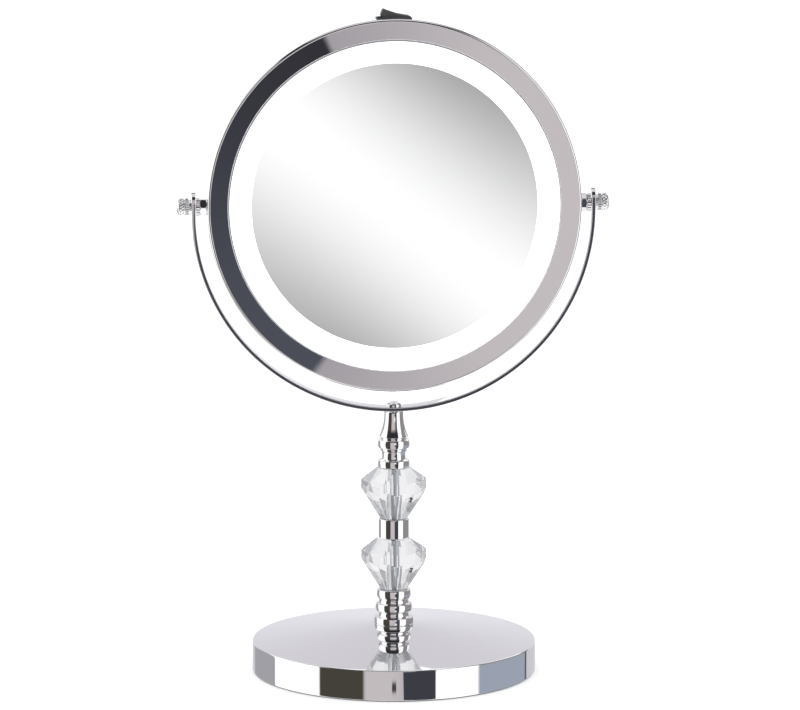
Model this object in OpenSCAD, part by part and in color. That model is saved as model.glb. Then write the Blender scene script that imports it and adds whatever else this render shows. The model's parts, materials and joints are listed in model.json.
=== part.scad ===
// Countertop vanity mirror: a lit, double-sided round mirror that turns in a chromed
// yoke, on a stem of two faceted acrylic crystals and a heavy domed base.
// Millimetres, +Z up, the front mirror faces -Y and the tilt axis lies along X.

/* [Base] */
// Outer diameter of the base
base_d = 153; // [140:0.5:170]
// Height of the upright rim of the base shell
rim_h = 17; // [14:0.5:20]
// Rise of the domed top above the rim
dome_h = 8.4; // [6:0.2:12]
// Shape of the domed top: 1 is a plain cone and 2 a round dome
dome_power = 1.1; // [1:0.1:2]

/* [Stem] */
// Diameter of the steel tie rod through the stem
rod_d = 3; // [3:0.5:4]
// Diameter of the clear bore through a crystal
crystal_bore_d = 5.4; // [4.4:0.2:6]
// Diameter across the corners of a crystal's girdle
crystal_d = 35.4; // [30:0.2:40]
// Height of one crystal
crystal_h = 27.6; // [24:0.2:32]
// Number of girdle facets on a crystal
crystal_facets = 10; // [8:1:12]
// Height of the chromed sleeve between the crystals
sleeve_h = 10.6; // [8:0.2:14]

/* [Yoke] */
// Width of the flat band that the yoke is bent from
yoke_w = 10; // [8:0.5:14]
// Thickness of the band
yoke_t = 2.2; // [2:0.1:3]
// Radius of the bend, measured to the middle of the band
yoke_r = 107; // [106.6:0.1:109]
// Height of the tilt axis above the table
pivot_z = 254; // [250:0.5:262]

/* [Head] */
// Outer diameter of the head
head_d = 200; // [196:0.5:200]
// Depth of the head from front to back
head_depth = 20; // [20:0.5:24]
// Diameter of the flat front mirror
mirror_d = 153; // [150:0.5:153]
// Diameter of the opening in the front bezel
window_d = 178; // [176:0.5:179]
// Number of light chips on the ring board
led_count = 48; // [24:4:60]

/* [Pivots] */
// Diameter of each pivot stud
stud_d = 4; // [3.5:0.1:4.2]
// Diameter over the knurls of a thumb knob
knob_d = 9.6; // [9:0.1:12]
// Distance from the middle of the head to the end of a knob
knob_end = 116; // [115:0.5:118]

/* [Switch] */
// Length of the rocker across its two raised ends
rocker_l = 14.4; // [12:0.2:15]
// Angle of the rocker from level when it is pressed
rocker_tilt = 15; // [10:1:16]

/* [Hidden] */
$fn = 96;
eps = 0.01;
fit = 0.05;             // radial clearance of a screwed or sliding fit
chrome = [0.78, 0.78, 0.80];
white_plastic = [0.93, 0.93, 0.92];
dark_plastic = [0.22, 0.22, 0.23];

// Base
base_r = base_d / 2;
shell_t = 1.2;
shell_bottom = 0.6;
rim_round = 1.4;
seat_r = 11.4;
seat_z = rim_h + dome_h;
pad_t = 2.2;
weight_h = 12;
boss_r = 11;
recess_h = 8;           // pocket under the weight for the nut and washer

// Stem
gasket_t = 0.3;
rod_r = rod_d / 2;
rod_hole_r = rod_r + fit;
lower_ferrule_h = 19.2;
crystal_foot_r = 7.5;
crystal_table_r = 9;
girdle_top = 21.4;      // height of the girdle's upper edge on a crystal
girdle_side = 4.7;      // height of the girdle at a corner
girdle_mid = 7;         // and in the middle of a facet, where its lower edge dips
lower_crystal_z = seat_z + lower_ferrule_h + gasket_t;
sleeve_z = lower_crystal_z + crystal_h + gasket_t;
upper_crystal_z = sleeve_z + sleeve_h + gasket_t;
upper_ferrule_z = upper_crystal_z + crystal_h + gasket_t;
rod_top = upper_ferrule_z + 16;

// Yoke
yoke_drop = 3.5;
yoke_cz = pivot_z - yoke_drop;
yoke_in = yoke_r - yoke_t / 2;
yoke_out = yoke_r + yoke_t / 2;
arm_rise = 8;
yoke_floor = yoke_cz - yoke_in;
screw_r = 2.5;
screw_head_r = 4.6;
screw_head_h = 2.2;
screw_lift = 0.1;       // clears the curve of the band under the screw's flat head

// Head, in radius and in distance forward of the tilt axis
head_r = head_d / 2;
face = head_depth / 2;
mirror_r = mirror_d / 2;
window_r = window_d / 2;
band_t = 1.2;
band_in = head_r - band_t;
band_front = face - 2;
band_back = -(face - 4);
edge_round = 1.5;
flange_f = face - 5;
flange_t = 1.2;
screw_ring_r = 94.7;
screw_count = 8;
board_f = face - 8;
board_t = 1.2;

// Battery bay, behind the lower half of the light ring
cell_r = 5.25;
cell_l = 44.5;
cell_ring = 88.5;
cell_f = -3.2;
cell_step = 34;
bay_half = 25;
bay_sector = 52;
holder_in = 82.5;
holder_out = 97;

// Switch
rocker_z = pivot_z + 98;
rocker_w = 6.8;
housing_l = 18.8;
housing_w = 8.8;

// Rear cover
rear_mirror_r = 80.9;
rear_window_r = 79.5;
rear_curve = 900;

// Pivots
stud_r = stud_d / 2;
stud_hole_r = stud_r + 0.06;
spacer_h = 3.8;
spacer_r = 4.9;
spacer_end = head_r + spacer_h;
washer_end = yoke_in - 0.2;
outer_washer_x = yoke_out + 0.2;
knob_x = outer_washer_x + 0.9;

// ---- Shared shapes ------------------------------------------------------------------

// Points of a turned profile that bulges from r_edge to r_mid between two heights, with
// an almost straight middle and quick ends.
function bulge(r_edge, r_mid, z0, z1, n = 10) =
    [for (i = [0:n]) let (swell = sqrt(sin(180 * i / n)))
     [r_edge + (r_mid - r_edge) * swell, z0 + (z1 - z0) * (1 - cos(180 * i / n)) / 2]];

// Points of a round corner of the given radius about a centre, from angle a0 to a1.
function corner(cx, cy, r, a0, a1, n = 5) =
    [for (i = [0:n]) let (a = a0 + (a1 - a0) * i / n) [cx + r * cos(a), cy + r * sin(a)]];

// A turned piece on the stem's axis.
module turned(points) rotate_extrude() polygon(points);

// A turned piece on the head's axis: x is the radius, y the distance forward.
module head_turned(points)
    translate([0, 0, pivot_z]) rotate([90, 0, 0]) rotate_extrude() polygon(points);

// A plain ring on the head's axis between two distances forward.
module head_ring(r_out, r_in, f0, f1)
    head_turned([[r_in, f0], [r_out, f0], [r_out, f1], [r_in, f1]]);

// A place on the head: children's x runs outward, y to the back and z along the rim.
module head_at(angle) translate([0, 0, pivot_z]) rotate([0, -angle, 0]) children();

// A child drawn on the right side, or turned round to the left side.
module side(s) translate([0, 0, pivot_z]) rotate([0, 0, s > 0 ? 0 : 180]) children();

// A rod along X between two distances from the middle.
module x_rod(r, x0, x1) translate([x0, 0, 0]) rotate([0, 90, 0]) cylinder(h = x1 - x0, r = r);

// ---- Base ---------------------------------------------------------------------------

// Height of the domed top of the base at a radius, with a flat seat in the middle.
function dome_z(r) =
    let (edge = base_r - rim_round)
    r < seat_r ? seat_z : rim_h + dome_h * (1 - pow((r - seat_r) / (edge - seat_r), dome_power));

module base_pad()
    color([0.16, 0.16, 0.17]) cylinder(h = pad_t, r = base_r - shell_t - 0.4);

module base_weight()
    color([0.30, 0.30, 0.31]) difference() {
        union() {
            translate([0, 0, pad_t]) cylinder(h = weight_h, r = base_r - shell_t - 3);
            translate([0, 0, pad_t]) cylinder(h = seat_z - shell_t - 0.3 - pad_t, r = boss_r);
        }
        cylinder(h = seat_z, r = rod_hole_r);
        translate([0, 0, pad_t - eps]) cylinder(h = recess_h + 2 * eps, r = 9);
    }

module base_shell() {
    edge = base_r - rim_round;
    n = 24;
    rs = [for (i = [0:n]) seat_r + (edge - seat_r) * i / n];
    outer = concat([[rod_hole_r, seat_z]], [for (r = rs) [r, dome_z(r)]],
                   corner(edge, rim_h - rim_round, rim_round, 75, 0));
    inner = [for (i = [n:-1:0]) [rs[i] - 0.6, dome_z(rs[i]) - shell_t]];
    color(chrome) turned(concat(outer,
        [[base_r, shell_bottom], [base_r - shell_t, shell_bottom],
         [base_r - shell_t, rim_h - 2.6]],
        inner, [[rod_hole_r, seat_z - shell_t]]));
}

module tie_washer()
    color([0.62, 0.62, 0.62]) translate([0, 0, pad_t + recess_h - 1]) difference() {
        cylinder(h = 1, r = 6);
        translate([0, 0, -1]) cylinder(h = 3, r = rod_hole_r);
    }

module tie_nut()
    color([0.62, 0.62, 0.62]) translate([0, 0, pad_t + recess_h - 5]) difference() {
        cylinder(h = 4, r = 4, $fn = 6);
        translate([0, 0, -1]) cylinder(h = 6, r = rod_hole_r);
    }

module tie_rod()
    color([0.70, 0.70, 0.72]) translate([0, 0, pad_t + 1.5])
        cylinder(h = rod_top - pad_t - 1.5, r = rod_r);

// ---- Stem ---------------------------------------------------------------------------

module lower_ferrule()
    color(chrome) translate([0, 0, seat_z]) turned(concat(
        [[rod_hole_r, 0]],
        bulge(10.4, 10.95, 0, 4.0),
        bulge(9.0, 8.3, 4.3, 6.9),
        bulge(9.3, 10.0, 7.2, 11.4),
        bulge(8.8, 8.05, 11.6, 14.2),
        bulge(8.6, 9.25, 14.5, 19.0),
        [[7.6, lower_ferrule_h], [rod_hole_r, lower_ferrule_h]]));

// A ten-sided stone. Twenty flutes widen from the foot to an upright girdle, whose facets
// dip to a point in the middle, and the crown's triangles close in on the small table.
module crystal(z)
    color([0.86, 0.90, 0.93, 0.45]) translate([0, 0, z]) difference() {
        turn = 180 / crystal_facets;
        rotate([0, 0, 90 + turn]) hull() {
            cylinder(h = eps, r = crystal_foot_r, $fn = 2 * crystal_facets);
            translate([0, 0, girdle_top - girdle_side])
                cylinder(h = girdle_side, r = crystal_d / 2, $fn = crystal_facets);
            translate([0, 0, girdle_top - girdle_mid]) rotate([0, 0, turn])
                cylinder(h = eps, r = crystal_d / 2 * cos(turn), $fn = crystal_facets);
            translate([0, 0, crystal_h - eps]) rotate([0, 0, turn])
                cylinder(h = eps, r = crystal_table_r, $fn = crystal_facets);
        }
        translate([0, 0, -1]) cylinder(h = crystal_h + 2, r = crystal_bore_d / 2);
    }

module lower_crystal() crystal(lower_crystal_z);
module upper_crystal() crystal(upper_crystal_z);

module middle_sleeve()
    color(chrome) translate([0, 0, sleeve_z]) turned(concat(
        [[rod_hole_r, 0]], corner(7.75, 0.5, 0.5, -90, 0),
        corner(7.75, sleeve_h - 0.5, 0.5, 0, 90), [[rod_hole_r, sleeve_h]]));

module crystal_gaskets()
    color([0.85, 0.85, 0.85, 0.6])
        for (z = [lower_crystal_z - gasket_t, sleeve_z - gasket_t,
                  upper_crystal_z - gasket_t, upper_ferrule_z - gasket_t])
            translate([0, 0, z]) difference() {
                cylinder(h = gasket_t, r = 6.6);
                translate([0, 0, -1]) cylinder(h = 2, r = rod_hole_r);
            }

module upper_ferrule() {
    top = yoke_cz - yoke_out + 1 - upper_ferrule_z;
    taper = [for (i = [0:10]) let (k = i / 10) [5.2 + 2.8 * pow(1 - k, 2), 16.8 + 12.4 * k]];
    color(chrome) difference() {
        translate([0, 0, upper_ferrule_z]) turned(concat(
            [[0, 0]],
            bulge(8.2, 8.6, 0, 3.9),
            bulge(7.6, 6.35, 4.1, 9.0),
            [[6.9, 9.2], [6.9, 10.2]],
            bulge(7.5, 8.65, 10.4, 15.2),
            [[6.95, 15.4], [6.95, 16.2]],
            taper, [[5.2, top], [0, top]]));
        translate([0, 0, upper_ferrule_z - eps]) cylinder(h = 17.5, r = rod_hole_r);
        translate([0, 0, yoke_floor - 12]) cylinder(h = 30, r = screw_r + fit);
        translate([0, yoke_w, yoke_cz]) rotate([90, 0, 0])
            cylinder(h = 2 * yoke_w, r = yoke_out, $fn = 128);
    }
}

// ---- Yoke ---------------------------------------------------------------------------

module yoke()
    color(chrome) difference() {
        union() {
            difference() {
                translate([0, yoke_w / 2, yoke_cz]) rotate([90, 0, 0]) difference() {
                    cylinder(h = yoke_w, r = yoke_out, $fn = 128);
                    translate([0, 0, -1]) cylinder(h = yoke_w + 2, r = yoke_in, $fn = 128);
                }
                translate([-2 * yoke_r, -yoke_w, yoke_cz]) cube([4 * yoke_r, 2 * yoke_w, 2 * yoke_r]);
            }
            for (s = [-1, 1]) side(s) {
                translate([yoke_in, -yoke_w / 2, -yoke_drop])
                    cube([yoke_t, yoke_w, arm_rise + yoke_drop - yoke_w / 2]);
                translate([0, 0, arm_rise - yoke_w / 2]) x_rod(yoke_w / 2, yoke_in, yoke_out);
            }
        }
        for (s = [-1, 1]) side(s) x_rod(stud_hole_r, yoke_in - 1, yoke_out + 1);
        translate([0, 0, yoke_floor - yoke_t - 1]) cylinder(h = yoke_t + 2, r = screw_r + fit);
    }

module yoke_screw()
    color(chrome) difference() {
        translate([0, 0, yoke_floor + screw_lift]) union() {
            turned(concat([[0, 0], [screw_head_r - 0.1, 0]],
                [for (i = [0:6]) let (a = 15 * i)
                 [screw_head_r * (0.55 + 0.45 * cos(a)), 0.6 + (screw_head_h - 0.6) * sin(a)]],
                [[0, screw_head_h]]));
            translate([0, 0, -11]) cylinder(h = 11 + eps, r = screw_r);
        }
        for (a = [0, 90])
            translate([0, 0, yoke_floor + screw_head_h]) rotate([0, 0, a])
                cube([5, 1, 2.6], center = true);
    }

// ---- Head: casing and light ---------------------------------------------------------

// The notch that the switch housing takes out of a ring of the head.
module switch_notch(clear)
    translate([-housing_l / 2 - clear, -housing_w / 2 - clear, pivot_z + 87.5])
        cube([housing_l + 2 * clear, housing_w + 2 * clear, 20]);

module drum_band()
    color(chrome) difference() {
        head_turned([[band_in, band_back], [head_r, band_back], [head_r, band_front],
                     [band_in, band_front], [band_in, flange_f], [93, flange_f],
                     [93, flange_f - flange_t], [band_in, flange_f - flange_t]]);
        for (s = [-1, 1]) side(s) x_rod(stud_r + 0.1, band_in - 1, head_r + 1);
        for (i = [0:screw_count - 1]) head_at((i + 0.5) * 360 / screw_count)
            translate([screw_ring_r, 0, 0]) rotate([90, 0, 0]) cylinder(h = face, r = 1.25);
        switch_notch(fit);
    }

module front_bezel()
    color(chrome) head_turned(concat(
        [[head_r, band_front + fit]],
        corner(head_r - edge_round, face - edge_round, edge_round, 0, 90),
        [[window_r, face - 1.5], [window_r, face - 2.4], [97.3, face - 1.2],
         [97.3, face - 3.6], [band_in - 0.1, face - 3.6], [band_in - 0.1, band_front + fit]]));

module diffuser_ring()
    color([0.98, 0.98, 0.97]) head_ring(window_r + 3, mirror_r + 0.3, face - 3.7, face - 2.6);

module front_mirror()
    color([0.86, 0.88, 0.90]) head_ring(mirror_r, 0, face - 4.6, face - 2);

module mirror_tape()
    color([0.25, 0.25, 0.25]) for (r = [30, 68]) head_ring(r, r - 12, face - 5.1, face - 4.6);

module chassis()
    color(white_plastic) difference() {
        head_turned([[0, face - 6.6], [75.8, face - 6.6], [75.8, face - 9.1], [84.5, face - 9.1],
                     [91, flange_f], [98.4, flange_f], [98.4, flange_f + 1.2],
                     [89.8, flange_f + 1.2], [84.4, face - 8.1], [77, face - 8.1],
                     [77, face - 5.1], [0, face - 5.1]]);
        for (i = [0:screw_count - 1]) head_at((i + 0.5) * 360 / screw_count)
            translate([screw_ring_r, 0, 0]) rotate([90, 0, 0]) cylinder(h = face, r = 1.25);
        switch_notch(0.4);
    }

module chassis_screws()
    color([0.62, 0.62, 0.62]) for (i = [0:screw_count - 1]) head_at((i + 0.5) * 360 / screw_count)
        translate([screw_ring_r, 0, 0]) rotate([90, 0, 0]) difference() {
            union() {
                translate([0, 0, flange_f - flange_t - 0.6]) cylinder(h = 3.2, r = 1.2);
                translate([0, 0, flange_f + 1.2]) cylinder(h = 1, r = 2.1);
            }
            translate([0, 0, flange_f + 2.2]) cube([2.6, 0.6, 1], center = true);
        }

module led_board()
    color([0.90, 0.91, 0.88]) head_ring(84.1, 77.6, board_f, board_f + board_t);

module led_chips()
    color([0.97, 0.93, 0.70]) for (i = [0:led_count - 1]) head_at((i + 0.5) * 360 / led_count)
        translate([80.9, -(board_f + board_t + 0.4), 0]) cube([2.8, 0.8, 3.5], center = true);

module led_resistors()
    color([0.12, 0.12, 0.13]) for (i = [0:led_count / 3 - 1]) head_at(i * 1080 / led_count)
        translate([83, -(board_f + board_t + 0.3), 0]) cube([1.2, 0.6, 2], center = true);

// ---- Head: battery and wiring -------------------------------------------------------

module battery_holder()
    color(dark_plastic) difference() {
        translate([0, 0, pivot_z]) rotate([90, 0, 0]) rotate([0, 0, -90 - bay_sector])
            rotate_extrude(angle = 2 * bay_sector)
                polygon([[holder_in, -8.3], [holder_out, -8.3], [holder_out, 2.8],
                         [89.5, 2.8], [86.6, 0.6], [holder_in, 0.6]]);
        for (i = [-1:1]) head_at(-90 + i * cell_step)
            translate([cell_ring, -cell_f, 0]) {
                cylinder(h = 2 * bay_half - 3, r = cell_r + 0.15, center = true);
                translate([0, cell_r, 0])
                    cube([2 * cell_r + 0.3, 2 * cell_r, 2 * bay_half - 3], center = true);
            }
    }

module battery_cells()
    color([0.55, 0.40, 0.22]) for (i = [-1:1]) head_at(-90 + i * cell_step)
        translate([cell_ring, -cell_f, 0]) rotate([i == 0 ? 180 : 0, 0, 0]) union() {
            translate([0, 0, -cell_l / 2]) cylinder(h = cell_l - 1, r = cell_r - 0.05);
            translate([0, 0, cell_l / 2 - 1 - eps]) cylinder(h = 0.8, r = 1.9);
        }

module battery_contacts()
    color([0.80, 0.76, 0.62]) for (i = [-1:1]) head_at(-90 + i * cell_step)
        translate([cell_ring, -cell_f, 0]) for (s = [-1, 1])
            translate([0, 0, s * (bay_half - 1.8)]) cube([7, 7, 0.5], center = true);

// A wire laid round the head at one radius, between two angles.
module rim_wire(r, f, a0, a1, wire_r)
    translate([0, 0, pivot_z]) rotate([90, 0, 0]) rotate([0, 0, a0])
        rotate_extrude(angle = a1 - a0) translate([r, f]) circle(r = wire_r, $fn = 16);

module positive_lead() color([0.70, 0.10, 0.08]) rim_wire(86.4, -3, -37.5, 86.5, 0.8);
module negative_lead() color([0.08, 0.08, 0.08]) rim_wire(86.4, -3, 93.5, 217.5, 0.8);
module board_lead() color([0.08, 0.08, 0.08]) rim_wire(80, -0.3, 100, 215, 0.7);

// ---- Head: switch -------------------------------------------------------------------

module switch_housing()
    color(dark_plastic) difference() {
        intersection() {
            translate([-housing_l / 2, -housing_w / 2, pivot_z + 88])
                cube([housing_l, housing_w, 14]);
            translate([0, housing_w, pivot_z]) rotate([90, 0, 0])
                cylinder(h = 2 * housing_w, r = head_r + 0.6, $fn = 128);
        }
        translate([-housing_l / 2 + 0.35, -rocker_w / 2 - 0.35, pivot_z + 93.2])
            cube([housing_l - 0.7, rocker_w + 0.7, 20]);
        translate([0, housing_w, rocker_z]) rotate([90, 0, 0]) cylinder(h = 2 * housing_w, r = 0.8);
    }

module switch_terminals()
    color([0.80, 0.66, 0.36]) for (x = [-5, 5])
        translate([x - 0.4, -0.5, pivot_z + 84.6]) cube([0.8, 2.5, 3.4]);

module switch_pin()
    color([0.7, 0.7, 0.72]) translate([0, housing_w / 2 - 0.2, rocker_z]) rotate([90, 0, 0])
        cylinder(h = housing_w - 0.4, r = 0.75);

module switch_rocker() {
    half = rocker_l / 2;
    color([0.24, 0.24, 0.26]) translate([0, rocker_w / 2, rocker_z]) rotate([90, 0, 0])
        rotate([0, 0, -rocker_tilt]) difference() {
            linear_extrude(rocker_w)
                polygon(concat([[-half - 0.7, 1.2], [-half - 0.5, 4.0], [-half, 5.2]],
                    [for (i = [-3:3]) [i * half / 4, 4.5 + 0.35 * abs(i) / 3]],
                    [[half, 5.2], [half + 0.5, 4.0], [half + 0.7, 1.2]],
                    corner(0, 0, 2.6, 0, -180)));
            translate([0, 0, -1]) cylinder(h = rocker_w + 2, r = 0.8);
        }
}

// ---- Rear cover ---------------------------------------------------------------------

// Distance forward of the concave rear glass at a radius.
function rear_f(r) = -(face - 1.45) + (pow(rear_mirror_r, 2) - r * r) / (2 * rear_curve);

module rear_bezel()
    color(chrome) head_turned(concat(
        [[rear_window_r, -face + 0.4]],
        corner(head_r - edge_round, -face + edge_round, edge_round, -90, 0),
        [[head_r, band_back - fit], [band_in - 0.1, band_back - fit],
         [band_in - 0.1, -4.8], [97.3, -4.8], [97.3, -face + 1.2],
         [82.2, -face + 1.4], [82.2, -5], [81.1, -5], [81.1, -face + 1.4],
         [rear_window_r, -face + 1.4]]));

module rear_mirror() {
    rs = [for (i = [0:8]) rear_mirror_r * i / 8];
    color([0.86, 0.88, 0.90]) head_turned(concat(
        [for (r = rs) [r, rear_f(r)]], [for (i = [8:-1:0]) [rs[i], rear_f(rs[i]) + 2]]));
}

module rear_backing() {
    rs = [for (i = [0:8]) (rear_mirror_r - 0.2) * i / 8];
    color(white_plastic) head_turned(concat(
        [for (r = rs) [r, rear_f(r) + 2.05]], [for (i = [8:-1:0]) [rs[i], rear_f(rs[i]) + 3.2]]));
}

module rear_clips()
    color([0.7, 0.7, 0.72]) for (a = [30, 150, 200, 340]) head_at(a)
        translate([95.9, 0, 0]) difference() {
            translate([0, 5.2, -4]) cube([1.3, 3.4, 8]);
            translate([-1, 6.2, -2]) cube([1.4, 1.4, 4]);
        }

// ---- Pivots -------------------------------------------------------------------------

module pivot_stud(s)
    color([0.70, 0.70, 0.72]) side(s) x_rod(stud_r, 93.5, knob_end - 1.8);

module pivot_stud_left() pivot_stud(-1);
module pivot_stud_right() pivot_stud(1);

module pivot_nuts()
    color([0.62, 0.62, 0.62]) for (s = [-1, 1]) side(s) difference() {
        translate([95.2, 0, 0]) rotate([0, 90, 0]) cylinder(h = 3.2, r = 4.04, $fn = 6);
        x_rod(stud_r + fit, 94, 100);
    }

// A six-sided spacer with turned-off corners. The right one has an edge to the front and
// the left one a flat.
module hex_spacer(s)
    color(chrome) side(s) rotate([0, 90, 0]) translate([0, 0, head_r]) difference() {
        intersection() {
            rotate([0, 0, s > 0 ? 30 : 0]) cylinder(h = spacer_h, r = spacer_r, $fn = 6);
            turned([[0, 0], [spacer_r - 0.7, 0], [spacer_r, 0.8], [spacer_r, spacer_h - 0.8],
                    [spacer_r - 0.7, spacer_h], [0, spacer_h]]);
        }
        translate([0, 0, -1]) cylinder(h = spacer_h + 2, r = stud_r + fit);
    }

module hex_spacer_left() hex_spacer(-1);
module hex_spacer_right() hex_spacer(1);

module milled_washer(s)
    color(chrome) side(s) difference() {
        union() {
            x_rod(4.7, spacer_end, washer_end);
            for (i = [0:19]) rotate([18 * i, 0, 0]) translate([0, 0, 4.6])
                x_rod(0.35, spacer_end + 0.2, washer_end - 0.2, $fn = 16);
        }
        x_rod(stud_r + fit, spacer_end - 1, washer_end + 1);
    }

module milled_washer_left() milled_washer(-1);
module milled_washer_right() milled_washer(1);

module outer_washer(s)
    color(chrome) side(s) difference() {
        x_rod(4.3, outer_washer_x, outer_washer_x + 0.7);
        x_rod(stud_r + fit, outer_washer_x - 1, outer_washer_x + 2);
    }

module outer_washer_left() outer_washer(-1);
module outer_washer_right() outer_washer(1);

// A thumb nut with a knurled barrel, a plain collar on its inner side and a domed end.
module knob(s) {
    barrel_r = knob_d / 2 - 0.3;
    dome_x = knob_end - 1.6;
    color(chrome) side(s) difference() {
        union() {
            rotate([0, 90, 0]) turned(concat(
                [[0, knob_x], [4.2, knob_x], [4.2, knob_x + 1.1], [barrel_r, knob_x + 1.4],
                 [barrel_r, dome_x]],
                [for (i = [1:6]) [barrel_r * cos(15 * i), dome_x + 1.6 * sin(15 * i)]]));
            for (i = [0:23]) rotate([15 * i, 0, 0]) translate([0, 0, barrel_r - 0.1])
                x_rod(0.4, knob_x + 1.7, dome_x - 0.2, $fn = 16);
        }
        x_rod(stud_hole_r, knob_x - 1, knob_end - 1.5);
    }
}

module knob_left() knob(-1);
module knob_right() knob(1);

// ---- Drawing ------------------------------------------------------------------------

base_pad();
base_weight();
base_shell();
tie_nut();
tie_washer();
tie_rod();
lower_ferrule();
lower_crystal();
middle_sleeve();
upper_crystal();
upper_ferrule();
crystal_gaskets();
yoke();
yoke_screw();
drum_band();
front_bezel();
diffuser_ring();
front_mirror();
mirror_tape();
chassis();
chassis_screws();
led_board();
led_chips();
led_resistors();
battery_holder();
battery_cells();
battery_contacts();
positive_lead();
negative_lead();
board_lead();
switch_housing();
switch_terminals();
switch_pin();
switch_rocker();
rear_bezel();
rear_mirror();
rear_backing();
rear_clips();
pivot_stud_left();
pivot_stud_right();
pivot_nuts();
hex_spacer_left();
hex_spacer_right();
milled_washer_left();
milled_washer_right();
outer_washer_left();
outer_washer_right();
knob_left();
knob_right();
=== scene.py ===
# %% [markdown]
# # A lit vanity mirror on a crystal stem
# The mirror is a chromed drum with a ring light behind its front edge. It turns between
# the two arms of a yoke, which stands on two faceted acrylic crystals, some turned
# ferrules and a heavy domed base. The mechanical design arrives as a frame of separate
# nodes. This lesson gives every surface that shows its finished shape and its finish.
# The first step loads the frame.

# %% Load the frame
import json

import bmesh
import bpy
import numpy as np
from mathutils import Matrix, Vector


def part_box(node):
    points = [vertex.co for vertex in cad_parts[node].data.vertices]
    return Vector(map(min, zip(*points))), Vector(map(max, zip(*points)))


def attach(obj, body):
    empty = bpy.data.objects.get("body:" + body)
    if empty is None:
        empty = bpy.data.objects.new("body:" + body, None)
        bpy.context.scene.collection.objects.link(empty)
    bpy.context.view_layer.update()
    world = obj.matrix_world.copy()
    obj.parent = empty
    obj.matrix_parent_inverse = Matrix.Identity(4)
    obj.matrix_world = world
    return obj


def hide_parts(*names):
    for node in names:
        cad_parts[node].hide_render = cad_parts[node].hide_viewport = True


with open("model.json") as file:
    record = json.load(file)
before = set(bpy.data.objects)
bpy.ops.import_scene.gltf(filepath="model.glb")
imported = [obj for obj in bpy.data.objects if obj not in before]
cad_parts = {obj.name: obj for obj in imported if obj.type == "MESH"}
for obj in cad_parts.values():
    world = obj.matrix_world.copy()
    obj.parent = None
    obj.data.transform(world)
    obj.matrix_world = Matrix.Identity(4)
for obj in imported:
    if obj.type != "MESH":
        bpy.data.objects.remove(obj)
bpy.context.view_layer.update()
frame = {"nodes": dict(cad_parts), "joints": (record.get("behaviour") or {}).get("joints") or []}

# %% [markdown]
# ## Where things are
# Every place comes from the frame, so that a changed design moves the looks with it.
# Drawings of turned parts are easier to read in millimetres, so outlines are written in
# millimetres and scaled once, when they become a surface.

# %% Landmarks, in millimetres
MM = 0.001


def low(node):
    """The lowest corner of a CAD node, in millimetres."""
    return np.array(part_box(node)[0]) / MM


def high(node):
    """The highest corner of a CAD node, in millimetres."""
    return np.array(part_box(node)[1]) / MM


base_r = high("base_shell")[0]
seat_z = high("base_shell")[2]
head_r = high("drum_band")[0]
pivot_z = frame["joints"][0]["pos_m"][2] / MM
face = -low("front_bezel")[1]
print(f"base radius {base_r:.1f}, head radius {head_r:.1f}, tilt axis at {pivot_z:.1f} mm")

# %% [markdown]
# ## Camera
# A long lens from two and a half metres keeps the ellipses of the base and of the mirror
# almost free of perspective. The camera stands a little to the left and looks down at
# about ten degrees, so the top of the base and the depth of the drum both show.

# %% Camera
camera_aim = Vector((0, -0.0356, 0.1785))
camera_distance = 2.5
camera_azimuth = -5.376
camera_elevation = 9.66
lens_mm = 212.7


def toward(azimuth, elevation):
    """Unit vector to a place seen from the object: azimuth 0 is the front, 90 the right."""
    a, e = np.radians(azimuth), np.radians(elevation)
    return Vector((np.sin(a) * np.cos(e), -np.cos(a) * np.cos(e), np.sin(e)))


camera = bpy.data.objects.new("camera", bpy.data.cameras.new("camera"))
camera.data.lens = lens_mm
view_line = toward(camera_azimuth, camera_elevation)
camera.location = camera_aim + camera_distance * view_line
camera.rotation_mode = "QUATERNION"
camera.rotation_quaternion = (-view_line).to_track_quat("-Z", "Y")
bpy.context.scene.collection.objects.link(camera)
bpy.context.scene.camera = camera
bpy.context.scene.view_settings.view_transform = "Standard"
print("camera at", [round(x, 3) for x in camera.location])

# %% [markdown]
# ## Shader sums in plain Python
# A shader is a sum that runs at every point of a surface. Wrapping a node's output in a
# small class lets that sum be written as `0.03 + 0.05 * haze ** 2`: each operator adds one
# Math node. A recipe is the tree that the nodes go into, and its `node` method makes any
# other node, with its settings first and then its sockets.


# %% Recipe and link
class Link:
    """A node's output. Each arithmetic operator on it adds one Math node."""

    def __init__(self, recipe, socket):
        self.recipe, self.socket = recipe, socket

    def math(self, operation, *values):
        return self.recipe.math(operation, self, *values)

    def __add__(self, other):
        return self.math("ADD", other)

    def __sub__(self, other):
        return self.math("SUBTRACT", other)

    def __rsub__(self, other):
        return self.recipe.math("SUBTRACT", other, self)

    def __mul__(self, other):
        return self.math("MULTIPLY", other)

    def __truediv__(self, other):
        return self.math("DIVIDE", other)

    def __pow__(self, other):
        return self.math("POWER", other)

    def __neg__(self):
        return self.math("MULTIPLY", -1)

    __radd__, __rmul__ = __add__, __mul__


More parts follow.
